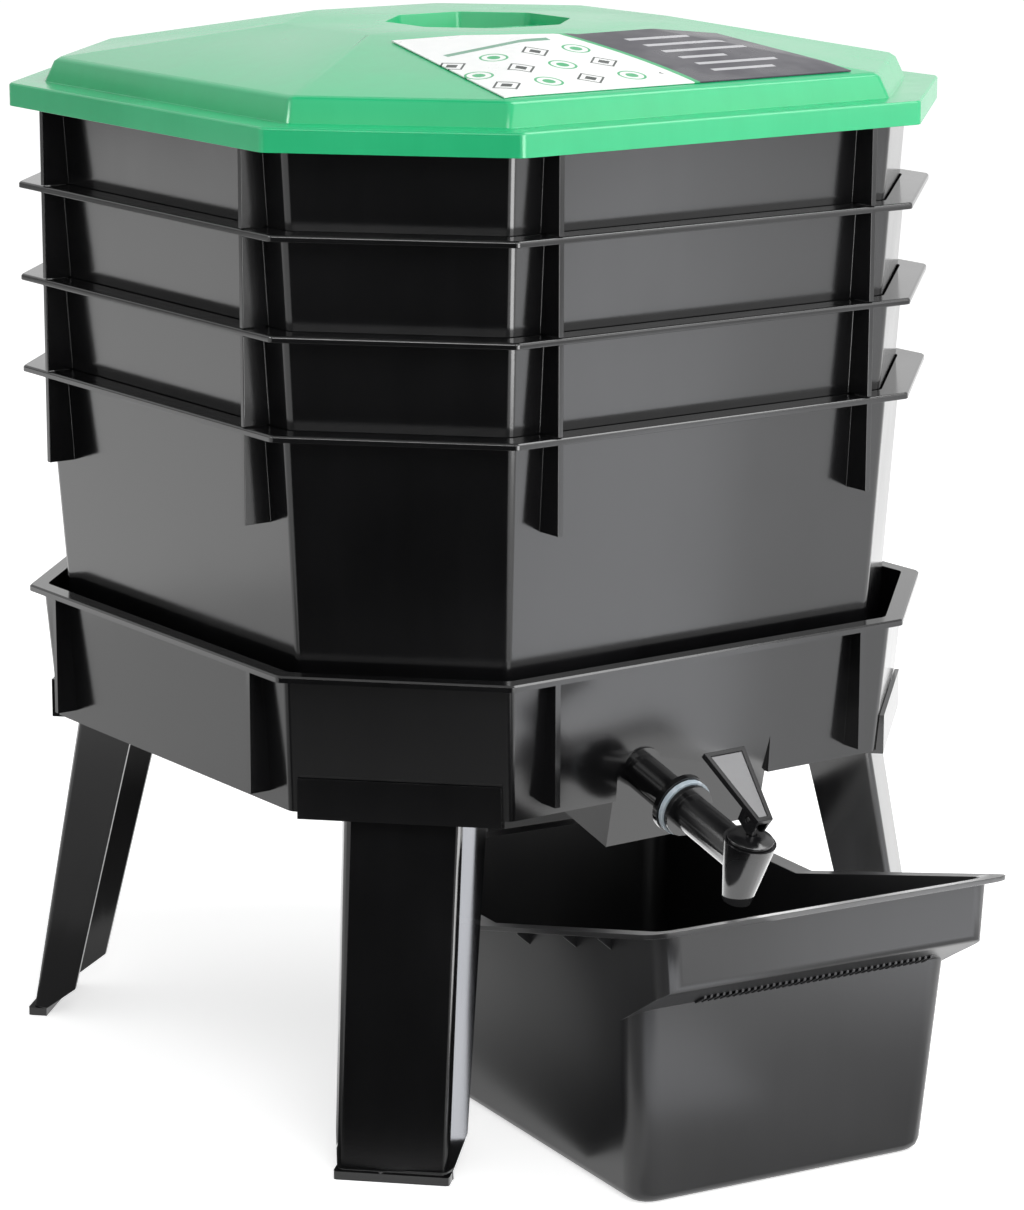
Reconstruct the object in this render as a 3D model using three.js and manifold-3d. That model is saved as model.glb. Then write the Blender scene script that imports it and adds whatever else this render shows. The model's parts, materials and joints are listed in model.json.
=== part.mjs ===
// Stacked tray wormery: collector base on four legs, nested trays, lid, tap and bin. Millimetres, +Z up.
import * as THREE from 'three';
import { mergeGeometries, mergeVertices } from 'three/addons/utils/BufferGeometryUtils.js';
import Module from 'manifold-3d';

const wasm = await Module();
wasm.setup();

// General: seat gap between pieces, overrun of cuts, steps of a rounded corner
const seatGap = 0.3;
const overrun = 2;
const cornerSteps = 2;
const mergeTolerance = 0.001;

// Tray: half widths of the rim across its long and corner sides, wall, depth and nesting
const rimFlat = 215.6;
const cornerProud = 26.6;
const rimCorner = rimFlat + cornerProud;
const rimReach = 12.1;
const rimThick = 3.5;
const rimBevel = 0.9;
const rimRadius = 4;
const trayWall = 2.5;
const trayDepth = 150;
const trayRadius = 7;
const trayDraftShare = 0.067;
const trayCount = 4;
const nestPitch = 50.5;

// Fins under the rims of trays and base
const finThick = 3.2;
const finSet = 115.1;
const finOffset = rimFlat - finSet;

// Holes in the tray floors
const holeRadius = 4.5;
const holePitch = 52;
const holeSides = 6;
const holeSet = 22;
const holeField = holePitch * 3;

// Collector base: height of its bottom and depth, and how far its rim and foot stand in from the tray rims
const baseBottom = 187.5;
const baseDepth = 74.9;
const baseRimHeight = baseBottom + baseDepth;
const baseRimSet = 1.3;
const baseRimFlat = rimFlat - baseRimSet;
const baseRimCorner = rimCorner;
const baseRimReach = 7;
const baseFootSet = 12.3;
const baseFootCornerSet = 13.8;
const baseFootFlat = baseRimFlat - baseFootSet;
const baseFootCorner = baseRimCorner - baseFootCornerSet;
const trayInBase = 26.2;
const lowestTrayFoot = baseRimHeight - trayInBase;
const baseWall = 2.5;
const baseFinLift = 7;
const ledgeThick = 3.2;
const ledgeSeat = 7;
const ledgeRise = 14;
const ledgeClearance = 1.5;

// Sump bay under the front wall
const bayCentre = -3.5;
const bayHalf = 50.5;
const bayRise = 20.5;
const bayTop = baseBottom + bayRise;
const bayDepth = 47;
const baySet = 10;
const baySlope = THREE.MathUtils.degToRad(16);

// Legs: channel section at the foot and at the top, along the diagonal out from the centre
const legSpread = 13.8;
const legFootOut = baseRimCorner + legSpread;
const legSplayShare = 0.177;
const legTopHalf = 30.5;
const legFootHalf = 28.5;
const legTopDeep = 35;
const legFootDeep = 23;
const legTopFlare = 8;
const legFootFlare = 6;
const legRadius = 4.5;
const legSteps = 3;
const legWall = 3;
const legLip = 2;
const legSole = 4.5;
const legSoleDeep = 9;
const legCutRise = 28;
const legRibThick = 2.5;
const legRibInset = 16;
const legRibShares = [0.36, 0.66];
const legHeadWide = 106;
const legHeadThick = 4.2;
const legHeadRise = 19;
const legShelf = 2.2;
const plugWide = 46;
const plugDeep = 22;
const plugDrop = 22;
const plugWall = 2.5;

// Lid: skirt, step, sloping facets, plateau and sunk well
const lidProud = 4.4;
const lidCornerProud = 3.4;
const lidFlat = rimFlat + lidProud;
const lidCorner = rimCorner + lidCornerProud;
const lidWall = 2.8;
const lidSkirt = 12.5;
const lidRadius = 6;
const stepSet = 19;
const stepCornerSet = 17.2;
const stepLean = 5;
const stepCornerLean = 6.4;
const stepFootFlat = lidFlat - stepSet;
const stepFootCorner = lidCorner - stepCornerSet;
const stepTopFlat = stepFootFlat - stepLean;
const stepTopCorner = stepFootCorner - stepCornerLean;
const stepRise = 13.2;
const stepBevel = 2.2;
const plateauSet = 120;
const plateauHalf = lidFlat - plateauSet;
const plateauRise = 32;
const wellHalf = 48;
const wellDepth = 22;
const wellDraft = 3;
const gripHalf = 11;
const gripSink = 6;
const gripThick = 9;

// Label on the lid: its thickness and corners in plan, the corners as shares of the lid's half width
const labelThick = 0.6;
const labelShares = [
  [-0.4455, -0.2818], [-0.5364, -0.8682], [0.4727, -0.8682], [0.3909, -0.4545], [-0.0364, -0.4636],
];

// Tap: place of its outer washer, tilt, and stations measured out along the barrel from that washer
const tapX = -38;
const tapProud = 24.7;
const tapY = -baseRimFlat - tapProud;
const tapRise = 3;
const tapHeight = baseBottom + tapRise;
const tapTilt = THREE.MathUtils.degToRad(16.5);
const tapSides = 24;
const bossRadius = 10;
const bossFlangeRadius = 16.5;
const bossFlangeThick = 3.5;
const bossLength = 39;
const padRadius = 13.5;
const padLength = 9.5;
const washerThick = 3;
const washerRadius = 15.5;
const innerWasherRadius = 12;
const innerWasherThick = 2;
const nutAcross = 22;
const nutThick = 7;
const nutSides = 6;
const tailRadius = 6.3;
const tailBore = 4.5;
const tailClearance = 0.4;
const tailSpare = 2.5;
const tapFlangeRadius = 14.3;
const tapFlangeThick = 2.8;
const barrelRadius = 10;
const spoutReach = 53;
const spoutTop = 10.7;
const spoutTopRadius = 13.8;
const spoutTip = 24.3;
const spoutTipRadius = 7.5;
const outletRadius = 5;
const chamberRadius = 8;
const chamberFloor = 5;
const bonnetRadius = 12.2;
const bonnetSide = 1.6;
const bonnetRise = 3.6;
const bonnetCrown = 7;
const bonnetPlug = 2.6;
const bonnetFit = 0.4;
const stemRadius = 2.4;
const stemEndRadius = 1.2;
const stemEndRise = 2.6;
const stemShoulder = 1.6;
const cupRadius = 6.5;
const cupTall = 4.5;
const cupSocket = 2.3;

// Tap lever: nose top and slope in the tap's frame, plate, cheeks and pin
const leverNoseReach = 8.2;
const leverNoseTop = 27;
const leverSlope = THREE.MathUtils.degToRad(24);
const leverLength = 45;
const leverNoseWide = 9.5;
const leverEndWide = 26;
const leverThick = 3.2;
const leverFrame = 2.6;
const leverPanel = 0.9;
const cheekDeep = 12.5;
const cheekLong = 13;
const cheekChamfer = 1.6;
const cheekSlot = 6;
const pinRadius = 1.5;
const pinDrop = 6.44;
const pinBack = 6.1;
const pinSides = 12;

// Collection bin: body, projecting front lip and rim that climbs towards the front
const binTurn = THREE.MathUtils.degToRad(-6.4);
const binCentreX = 20.5;
const binProud = 79.7;
const binLong = 276;
const binFront = -baseRimFlat - binProud;
const binBack = binFront + binLong;
const binHalf = 88.5;
const binWall = 2.5;
const binRadius = 15;
const binFillet = 6;
const binSteps = 5;
const binDraftShare = 0.07;
const binHeadroom = 73.5;
const binRimHeight = baseBottom - binHeadroom;
const binRimLevel = 139;
const binRimBreak = binFront + binRimLevel;
const binRimSlope = THREE.MathUtils.degToRad(14.1);
const binFlange = 8;
const binFlangeThick = 2.6;
const lipDrop = 6;
const lipFoot = binRimHeight - lipDrop;
const lipReach = 29.5;
const lipRise = 17.5;
const lipRadius = 12;
const lipTurn = 4;
const lipSteps = 3;
const lipBack = 60;
const binSpare = 54;
const binTallest = binRimHeight + binSpare;

// Materials
const blackPlastic = () => new THREE.MeshStandardMaterial({ color: 0x1b1b1d, roughness: 0.28, metalness: 0 });
const binPlastic = () => new THREE.MeshStandardMaterial({ color: 0x232326, roughness: 0.35, metalness: 0 });
const greenPlastic = () => new THREE.MeshStandardMaterial({ color: 0x32b878, roughness: 0.35, metalness: 0 });
const labelFilm = () => new THREE.MeshStandardMaterial({ color: 0xf4f4f4, roughness: 0.4, metalness: 0 });
const tapPlastic = () => new THREE.MeshStandardMaterial({ color: 0x141415, roughness: 0.25, metalness: 0 });
const paleRubber = () => new THREE.MeshStandardMaterial({ color: 0xc9d2d8, roughness: 0.5, metalness: 0 });
const blackRubber = () => new THREE.MeshStandardMaterial({ color: 0x1a1a1a, roughness: 0.8, metalness: 0 });

// Polygon with its corners rounded; the point count does not depend on the radius
function rounded(corners, radius, steps = cornerSteps) {
  return corners.flatMap((corner, i) => {
    const back = corners.at(i - 1).clone().sub(corner).normalize();
    const onward = corners[(i + 1) % corners.length].clone().sub(corner).normalize();
    const reach = radius / Math.tan(back.angleTo(onward) / 2);
    const start = corner.clone().addScaledVector(back, reach);
    const end = corner.clone().addScaledVector(onward, reach);
    return new THREE.QuadraticBezierCurve(start, corner, end).getPoints(steps);
  });
}

// Eight-sided outline from its half widths across the long sides and across the corner sides
function octagon(flat, corner, radius) {
  const cut = corner * Math.SQRT2 - flat;
  const quarter = [new THREE.Vector2(flat, -cut), new THREE.Vector2(flat, cut)];
  const corners = [0, 1, 2, 3].flatMap((turn) => quarter.map(
    (point) => point.clone().rotateAround(new THREE.Vector2(), turn * Math.PI / 2)));
  return rounded(corners, radius);
}

// Upright rectangle between two corners
function rectangle(x0, y0, x1, y1) {
  return [[x0, y0], [x1, y0], [x1, y1], [x0, y1]].map(([x, y]) => new THREE.Vector2(x, y));
}

// Closed solid through level outlines that all have the same number of points
function loft(...levels) {
  const count = levels[0].outline.length;
  const last = (levels.length - 1) * count;
  const faces = [];
  for (let low = 0; low < last; low += count) {
    for (let i = 0; i < count; i += 1) {
      const next = (i + 1) % count;
      faces.push(low + i, low + next, low + count + next, low + i, low + count + next, low + count + i);
    }
  }
  for (const [a, b, c] of THREE.ShapeUtils.triangulateShape(levels[0].outline, [])) {
    faces.push(c, b, a, last + a, last + b, last + c);
  }
  const places = levels.flatMap(({ outline, height }) => outline.flatMap(({ x, y }) => [x, y, height]));
  const geometry = new THREE.BufferGeometry();
  geometry.setAttribute('position', new THREE.Float32BufferAttribute(places, 3));
  geometry.setIndex(faces);
  return geometry;
}

// Plate of a given thickness whose outline stands in the XZ plane, centred on Y
function slab(points, thick) {
  const plate = new THREE.ExtrudeGeometry(new THREE.Shape(points), { depth: thick, bevelEnabled: false });
  return plate.translate(0, 0, -thick / 2).rotateX(Math.PI / 2);
}

// Plate whose outline stands in the YZ plane, from one X to another
function profileSlab(points, x0, x1) {
  return slab(points, x1 - x0).rotateZ(Math.PI / 2).translate((x0 + x1) / 2, 0, 0);
}

// Turned piece from radius and height pairs, standing on Z
function turned(pairs, sides) {
  const profile = pairs.map(([radius, height]) => new THREE.Vector2(radius, height));
  return new THREE.LatheGeometry(profile, sides).rotateX(Math.PI / 2);
}

// Turned piece lying along the tap's barrel: stations run out from the outer washer, towards -Y
function barrelTurned(pairs, sides) {
  return turned(pairs, sides).rotateX(Math.PI / 2);
}

function rod(radius, from, to) {
  return [[0, from], [radius, from], [radius, to], [0, to]];
}

function ring(inner, outer, from, to) {
  return [[inner, from], [outer, from], [outer, to], [inner, to], [inner, from]];
}

// Solid body for joining and cutting
function solid(geometry) {
  const bare = geometry.clone();
  bare.deleteAttribute('normal');
  bare.deleteAttribute('uv');
  const merged = mergeVertices(bare, mergeTolerance);
  return new wasm.Manifold(new wasm.Mesh({
    numProp: 3,
    vertProperties: new Float32Array(merged.attributes.position.array),
    triVerts: new Uint32Array(merged.index.array),
  }));
}

function joined(geometries) {
  return geometries.map(solid).reduce((whole, part) => whole.add(part));
}

// Copies of a geometry turned about Z, one for each quarter or diagonal
function quarters(geometry, start = 0) {
  return [0, 1, 2, 3].map((turn) => geometry.clone().rotateZ(start + turn * Math.PI / 2));
}

function piece(name, body, material) {
  const mesh = body.getMesh();
  const geometry = new THREE.BufferGeometry();
  geometry.setAttribute('position', new THREE.BufferAttribute(mesh.vertProperties, 3));
  geometry.setIndex(new THREE.BufferAttribute(mesh.triVerts, 1));
  const node = new THREE.Mesh(geometry, material);
  node.name = name;
  return node;
}

// Rim plate with a bevelled top edge, its top at the given height
function rimPlate(flat, corner, height) {
  return loft(
    { outline: octagon(flat, corner, rimRadius), height: height - rimThick },
    { outline: octagon(flat, corner, rimRadius), height: height - rimBevel },
    { outline: octagon(flat - rimBevel, corner - rimBevel, rimRadius), height },
  );
}

// Fins under a rim: two on each long side, outer edge flush with the rim
function fins(outline) {
  const fin = slab(outline, finThick);
  return [-finOffset, finOffset].flatMap((side) => quarters(fin.clone().translate(0, side, 0)));
}

// Tray outline at a distance below its rim
function trayOutline(drop, inset) {
  const reach = rimReach + drop * trayDraftShare + inset;
  return octagon(rimFlat - reach, rimCorner - reach, trayRadius);
}

function trayHoles() {
  const floorFlat = rimFlat - rimReach - trayDepth * trayDraftShare - holeSet;
  const floorCorner = rimCorner - rimReach - trayDepth * trayDraftShare - holeSet;
  const punch = new THREE.CylinderGeometry(holeRadius, holeRadius, trayWall + overrun * 2, holeSides)
    .rotateX(Math.PI / 2).translate(0, 0, trayWall / 2 - trayDepth);
  const holes = [];
  for (let x = -holeField; x <= holeField; x += holePitch) {
    for (let y = -holeField; y <= holeField; y += holePitch) {
      const onFloor = Math.max(Math.abs(x), Math.abs(y)) <= floorFlat
        && Math.abs(x) + Math.abs(y) <= floorCorner * Math.SQRT2;
      if (onFloor) {
        holes.push(punch.clone().translate(x, y, 0));
      }
    }
  }
  return mergeGeometries(holes);
}

// One working tray, its rim's top at zero
function trayBody() {
  const finFoot = nestPitch - seatGap;
  const root = rimFlat - rimReach - trayWall / 2;
  const finOutline = [
    new THREE.Vector2(root, -rimThick / 2),
    new THREE.Vector2(root - finFoot * trayDraftShare, -finFoot),
    new THREE.Vector2(rimFlat, -finFoot),
    new THREE.Vector2(rimFlat, -rimThick / 2),
  ];
  const shell = joined([
    loft({ outline: trayOutline(trayDepth, 0), height: -trayDepth }, { outline: trayOutline(0, 0), height: 0 }),
    rimPlate(rimFlat, rimCorner, 0),
    ...fins(finOutline),
  ]);
  const cavity = loft(
    { outline: trayOutline(trayDepth - trayWall, trayWall), height: trayWall - trayDepth },
    { outline: trayOutline(-overrun, trayWall), height: overrun },
  );
  return shell.subtract(solid(cavity)).subtract(solid(trayHoles()));
}

function trays() {
  const body = trayBody();
  return Array.from({ length: trayCount }, (_, i) => {
    const tray = piece(`tray_${i + 1}`, body, blackPlastic());
    tray.position.z = lowestTrayFoot + trayDepth + nestPitch * i;
    return tray;
  });
}

// Half widths of the base's wall at a height
function baseFlatAt(height) {
  return THREE.MathUtils.mapLinear(height, baseBottom, baseRimHeight, baseFootFlat, baseRimFlat - baseRimReach);
}

function baseCornerAt(height) {
  return THREE.MathUtils.mapLinear(
    height, baseBottom, baseRimHeight, baseFootCorner, baseRimCorner - baseRimReach);
}

function baseLevel(height, inset) {
  return { outline: octagon(baseFlatAt(height) - inset, baseCornerAt(height) - inset, trayRadius), height };
}

// Ledge inside the base wall: the lowest tray stands on its step and is centred by its upper part
function ledges() {
  const seat = lowestTrayFoot - seatGap;
  const footFlat = rimFlat - rimReach - trayDepth * trayDraftShare;
  const outline = [
    new THREE.Vector2(footFlat - ledgeSeat, baseBottom + baseWall / 2),
    new THREE.Vector2(baseFlatAt(baseBottom) - baseWall / 2, baseBottom + baseWall / 2),
    new THREE.Vector2(baseFlatAt(seat + ledgeRise) - baseWall / 2, seat + ledgeRise),
    new THREE.Vector2(footFlat + ledgeClearance, seat + ledgeRise),
    new THREE.Vector2(footFlat + ledgeClearance, seat),
    new THREE.Vector2(footFlat - ledgeSeat, seat),
  ];
  const ledge = slab(outline, ledgeThick);
  return [-finOffset, finOffset].flatMap((side) => quarters(ledge.clone().translate(0, side, 0)));
}

// Space outside the leaning front face of the sump bay
function bayFront(inset) {
  const face = inset - baseFlatAt(bayTop);
  const away = -baseRimFlat - overrun;
  return [
    new THREE.Vector2(face, bayTop),
    new THREE.Vector2(away, bayTop),
    new THREE.Vector2(away, bayTop - bayDepth - overrun),
    new THREE.Vector2(face + baySet + baySet * overrun / bayDepth, bayTop - bayDepth - overrun),
  ];
}

// Section of the sump: leaning front, and a floor that climbs to the base's floor
function sumpSection(inset) {
  const face = inset - baseFlatAt(bayTop);
  const foot = bayTop - bayDepth;
  const rear = baySet - baseFlatAt(bayTop) + (baseBottom - foot) / Math.tan(baySlope);
  const frontFoot = face + baySet;
  const climb = inset / Math.cos(baySlope);
  return [
    new THREE.Vector2(face, bayTop),
    new THREE.Vector2(frontFoot, foot + climb + inset * Math.tan(baySlope)),
    new THREE.Vector2(rear, baseBottom + climb),
    new THREE.Vector2(rear, baseBottom + climb + baseWall / 2),
    new THREE.Vector2(face + baseWall, bayTop),
  ];
}

// Where the outer face of a leg lies on the diagonal at a height
function legOutAt(height) {
  return legFootOut - height * legSplayShare;
}

// Hollow plug under the base that fits into a leg's channel, on the +X diagonal
function plug(inset, drop) {
  const outer = (height) => legOutAt(height) - legWall - seatGap - inset;
  const top = baseBottom + baseWall / 2 - inset;
  const foot = baseBottom - drop;
  return slab([
    new THREE.Vector2(outer(top) - plugDeep + 2 * inset, top),
    new THREE.Vector2(outer(foot) - plugDeep + 2 * inset, foot),
    new THREE.Vector2(outer(foot), foot),
    new THREE.Vector2(outer(top), top),
  ], plugWide - 2 * inset);
}

// Puts a geometry modelled along the barrel into its tilted place on the front
function atTap(geometry) {
  return geometry.rotateX(tapTilt).translate(tapX, tapY, tapHeight);
}

// Boss that carries the tap: neck, end flange outside, pad inside
function boss() {
  const end = -washerThick / 2 - seatGap;
  const neck = rod(bossRadius, -bossLength - padLength / 2, end);
  const flange = rod(bossFlangeRadius, end - bossFlangeThick, end);
  const pad = rod(padRadius, padFace(), -bossLength);
  return [neck, flange, pad].map((pairs) => atTap(barrelTurned(pairs, tapSides)));
}

// Station of the pad's inner face
function padFace() {
  return -bossLength - padLength;
}

function baseTray() {
  const left = bayCentre - bayHalf;
  const right = bayCentre + bayHalf;
  const finFoot = baseBottom + baseFinLift;
  const finOutline = [
    new THREE.Vector2(baseFlatAt(baseRimHeight) - baseWall / 2, baseRimHeight - rimThick / 2),
    new THREE.Vector2(baseFlatAt(finFoot) - baseWall / 2, finFoot),
    new THREE.Vector2(baseRimFlat, finFoot),
    new THREE.Vector2(baseRimFlat, baseRimHeight - rimThick / 2),
  ];
  const outside = joined([
    loft(baseLevel(baseBottom, 0), baseLevel(baseRimHeight, 0)),
    rimPlate(baseRimFlat, baseRimCorner, baseRimHeight),
    profileSlab(sumpSection(0), left, right),
    ...fins(finOutline),
    ...quarters(plug(0, plugDrop), Math.PI / 4),
  ]).subtract(solid(profileSlab(bayFront(0), left, right)));
  const inside = joined([
    loft(baseLevel(baseBottom + baseWall, baseWall), baseLevel(baseRimHeight + overrun, baseWall)),
    profileSlab(sumpSection(baseWall), left + baseWall, right - baseWall),
  ]).subtract(solid(profileSlab(bayFront(baseWall), left - baseWall, right + baseWall)));
  const pockets = joined(quarters(plug(plugWall, plugDrop + overrun), Math.PI / 4));
  const bore = atTap(barrelTurned(rod(tailRadius + tailClearance, padFace() - overrun, overrun), tapSides));
  const body = outside.subtract(inside).subtract(pockets)
    .add(joined(ledges())).add(joined(boss())).subtract(solid(bore));
  return piece('base_tray', body, blackPlastic());
}

// Channel section of a leg at a height: outer face towards +X with rounded corners, open towards the centre
function legLevel(height, inset, top) {
  const share = height / top;
  const out = legOutAt(height);
  const half = THREE.MathUtils.lerp(legFootHalf, legTopHalf, share);
  const deep = THREE.MathUtils.lerp(legFootDeep, legTopDeep, share);
  const flare = THREE.MathUtils.lerp(legFootFlare, legTopFlare, share);
  const open = inset > 0 ? overrun : 0;
  const reach = deep + open;
  const spread = half - inset + flare * reach / deep;
  const corners = [[-reach, -spread], [-inset, inset - half], [-inset, half - inset], [-reach, spread]]
    .map(([x, y]) => new THREE.Vector2(out + x, y));
  const [low, , , high] = corners;
  const turns = rounded(corners, legRadius - inset, legSteps).slice(legSteps + 1, -legSteps - 1);
  return { outline: [low, ...turns, high], height };
}

// One leg on the +X diagonal
function legBody() {
  const top = baseBottom - seatGap;
  const channel = solid(loft(legLevel(0, 0, top), legLevel(top, 0, top)));
  const hollow = solid(loft(legLevel(legSole, legWall, top), legLevel(top + overrun, legWall, top)));
  const rib = (share) => solid(slab(rectangle(
    legOutAt(top * share) - legRibInset, top * share, legOutAt(top * share), top * share + legRibThick),
  legHeadWide)).intersect(channel);
  const footCut = slab([
    new THREE.Vector2(legOutAt(0) - legSoleDeep, legSole),
    new THREE.Vector2(legOutAt(0) - legSoleDeep, -overrun),
    new THREE.Vector2(legOutAt(0) - legTopDeep * 2, -overrun),
    new THREE.Vector2(legOutAt(0) - legTopDeep * 2, legCutRise + legSole),
    new THREE.Vector2(legOutAt(legCutRise) - legTopDeep, legCutRise),
  ], legHeadWide);
  const lip = loft(...[0, legSole].map((height) => ({
    outline: rounded(rectangle(
      legOutAt(0) - legSoleDeep, -legFootHalf - legLip, legOutAt(0) + legLip, legFootHalf + legLip), legLip),
    height,
  })));
  const face = baseCornerAt(baseBottom) + seatGap;
  const headTop = baseBottom + legHeadRise;
  const head = slab([
    new THREE.Vector2(legOutAt(top) - legWall / 2, top),
    new THREE.Vector2(legOutAt(top) - legWall / 2, top - legShelf),
    new THREE.Vector2(face + legHeadThick, top - legShelf),
    new THREE.Vector2(face + legHeadThick, headTop),
    new THREE.Vector2(baseCornerAt(headTop) + seatGap, headTop),
    new THREE.Vector2(face, baseBottom),
    new THREE.Vector2(face, top),
  ], legHeadWide);
  return legRibShares.reduce((body, share) => body.add(rib(share)), channel.subtract(hollow))
    .subtract(solid(footCut)).add(solid(lip)).add(solid(head));
}

function legs() {
  const body = legBody();
  const corners = ['back_right', 'back_left', 'front_left', 'front_right'];
  return corners.map((corner, i) => {
    const leg = piece(`leg_${corner}`, body, blackPlastic());
    leg.rotation.z = Math.PI / 4 + i * Math.PI / 2;
    return leg;
  });
}

// Roof of the lid above its skirt's deck: step, bevel, facets and plateau
function roof(deck, inset, rise) {
  const low = deck - overrun;
  const level = (flat, corner, radius, height) => ({
    outline: octagon(flat - inset, corner - inset, radius), height: height + rise,
  });
  return loft(
    level(stepFootFlat, stepFootCorner, lidRadius, low),
    level(stepFootFlat, stepFootCorner, lidRadius, deck),
    level(stepTopFlat + stepBevel / 2, stepTopCorner + stepBevel / 2, lidRadius, deck + stepRise - stepBevel),
    level(stepTopFlat - stepBevel, stepTopCorner - stepBevel, lidRadius, deck + stepRise),
    level(plateauHalf, plateauHalf, lidRadius, deck + plateauRise),
  );
}

function deckHeight() {
  return lowestTrayFoot + trayDepth + nestPitch * (trayCount - 1) + seatGap + lidWall;
}

function lid() {
  const deck = deckHeight();
  const skirtFoot = deck - lidSkirt;
  const skirt = (inset, height) => ({ outline: octagon(lidFlat - inset, lidCorner - inset, lidRadius), height });
  const outside = joined([
    loft(skirt(0, skirtFoot), skirt(0, deck - rimBevel), skirt(rimBevel, deck)),
    roof(deck, 0, 0),
  ]);
  const inside = joined([
    loft(skirt(lidWall, skirtFoot - overrun), skirt(lidWall, deck - lidWall)),
    roof(deck, lidWall, -lidWall),
  ]);
  const top = deck + plateauRise;
  const well = (inset, floor, height) => loft(
    { outline: octagon(wellHalf - wellDraft + inset, wellHalf - wellDraft + inset, lidRadius), height: floor },
    { outline: octagon(wellHalf + inset, wellHalf + inset, lidRadius), height },
  );
  const grip = slab(rectangle(
    -wellHalf - lidWall / 2, top - gripSink - gripThick, wellHalf + lidWall / 2, top - gripSink), gripHalf * 2);
  const cup = solid(well(lidWall, top - wellDepth - lidWall, top - lidWall / 2));
  const body = outside.subtract(inside).add(cup)
    .subtract(solid(well(0, top - wellDepth, top + overrun)))
    .add(solid(grip).intersect(cup));
  return piece('lid', body, greenPlastic());
}

// Thin label that follows the facets under it
function lidLabel() {
  const deck = deckHeight();
  const outline = labelShares.map(([x, y]) => new THREE.Vector2(x, y).multiplyScalar(lidFlat));
  const column = solid(loft({ outline, height: deck }, { outline, height: deck + plateauRise * 2 }));
  const sheet = solid(roof(deck, 0, seatGap + labelThick)).subtract(solid(roof(deck, 0, seatGap)));
  return piece('lid_label', sheet.intersect(column), labelFilm());
}

// Tap pieces, in the tap's own frame: barrel towards -Y, spout down, origin at the outer washer
function tapBody() {
  const face = washerThick / 2 + seatGap;
  const tailEnd = padFace() - innerWasherThick - nutThick - seatGap * 2 - tailSpare;
  const outside = joined([
    barrelTurned(rod(tailRadius, tailEnd, face + tapFlangeThick), tapSides),
    barrelTurned(rod(tapFlangeRadius, face, face + tapFlangeThick), tapSides),
    barrelTurned(rod(barrelRadius, face, spoutReach), tapSides),
    turned([[0, -spoutTip], [spoutTipRadius, -spoutTip], [spoutTopRadius, spoutTop], [0, spoutTop]], tapSides)
      .translate(0, -spoutReach, 0),
  ]);
  const inside = joined([
    barrelTurned(rod(tailBore, tailEnd - overrun, spoutReach), tapSides / 2),
    turned(rod(outletRadius, -spoutTip - overrun, 0), tapSides / 2).translate(0, -spoutReach, 0),
    turned(rod(chamberRadius, -chamberFloor, spoutTop + overrun), tapSides).translate(0, -spoutReach, 0),
  ]);
  return piece('tap_body', outside.subtract(inside), tapPlastic());
}

function tapBonnet() {
  const foot = spoutTop + seatGap;
  const hole = stemRadius + bonnetFit;
  const plugRadius = chamberRadius - bonnetFit;
  const bonnet = turned([
    [hole, foot - bonnetPlug], [plugRadius, foot - bonnetPlug], [plugRadius, foot], [bonnetRadius, foot],
    [bonnetRadius, foot + bonnetSide], [bonnetCrown, foot + bonnetRise], [hole, foot + bonnetRise],
    [hole, foot - bonnetPlug],
  ], tapSides).translate(0, -spoutReach, 0);
  return piece('tap_bonnet', solid(bonnet), tapPlastic());
}

function tapWashers() {
  const inner = tailRadius + tailClearance;
  const back = padFace() - seatGap;
  const nutBack = back - innerWasherThick - seatGap;
  const washer = barrelTurned(ring(inner, washerRadius, -washerThick / 2, washerThick / 2), tapSides);
  const innerWasher = barrelTurned(ring(inner, innerWasherRadius, back - innerWasherThick, back), tapSides);
  const nutRadius = nutAcross / 2 / Math.cos(Math.PI / nutSides);
  const nut = solid(barrelTurned(rod(nutRadius, nutBack - nutThick, nutBack), nutSides))
    .subtract(solid(barrelTurned(rod(inner, nutBack - nutThick - overrun, nutBack + overrun), tapSides)));
  return [
    piece('tap_washer_outer', solid(washer), paleRubber()),
    piece('tap_washer_inner', solid(innerWasher), blackRubber()),
    piece('tap_lock_nut', nut, tapPlastic()),
  ];
}

// Pin station in the tap's frame: on the spout's axis, at a height above the barrel's axis
function pinHeight() {
  return leverNoseTop + pinBack * Math.sin(leverSlope) - pinDrop * Math.cos(leverSlope);
}

function tapStem() {
  const foot = seatGap * 2 - chamberFloor + cupTall - cupSocket;
  const pin = pinHeight();
  const shaft = solid(turned([
    [0, foot], [stemRadius, foot], [stemRadius, pin + stemShoulder],
    [stemEndRadius, pin + stemEndRise], [0, pin + stemEndRise],
  ], tapSides / 2));
  const eye = turned(rod(pinRadius + seatGap, -stemRadius - overrun, stemRadius + overrun), pinSides)
    .rotateY(Math.PI / 2).translate(0, 0, pin);
  const stem = piece('tap_stem', shaft.subtract(solid(eye)), tapPlastic());
  stem.position.y = -spoutReach;
  return stem;
}

function seatCup() {
  const foot = seatGap - chamberFloor;
  const top = foot + cupTall;
  const socket = stemRadius + seatGap;
  const cup = turned([
    [0, foot], [cupRadius, foot], [cupRadius, top], [socket, top], [socket, top - cupSocket], [0, top - cupSocket],
  ], tapSides);
  const node = piece('tap_seat_cup', solid(cup), blackRubber());
  node.position.y = -spoutReach;
  return node;
}

// Lever in its own frame: plate from the nose along +Y, cheeks below; then set on the pin
function leverOutline(inset) {
  const taper = (leverEndWide - leverNoseWide) / 2 / leverLength;
  const half = (along) => leverNoseWide / 2 + taper * along - inset;
  const near = inset;
  const far = leverLength - inset;
  return [
    new THREE.Vector2(-half(near), near), new THREE.Vector2(half(near), near),
    new THREE.Vector2(half(far), far), new THREE.Vector2(-half(far), far),
  ];
}

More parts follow.
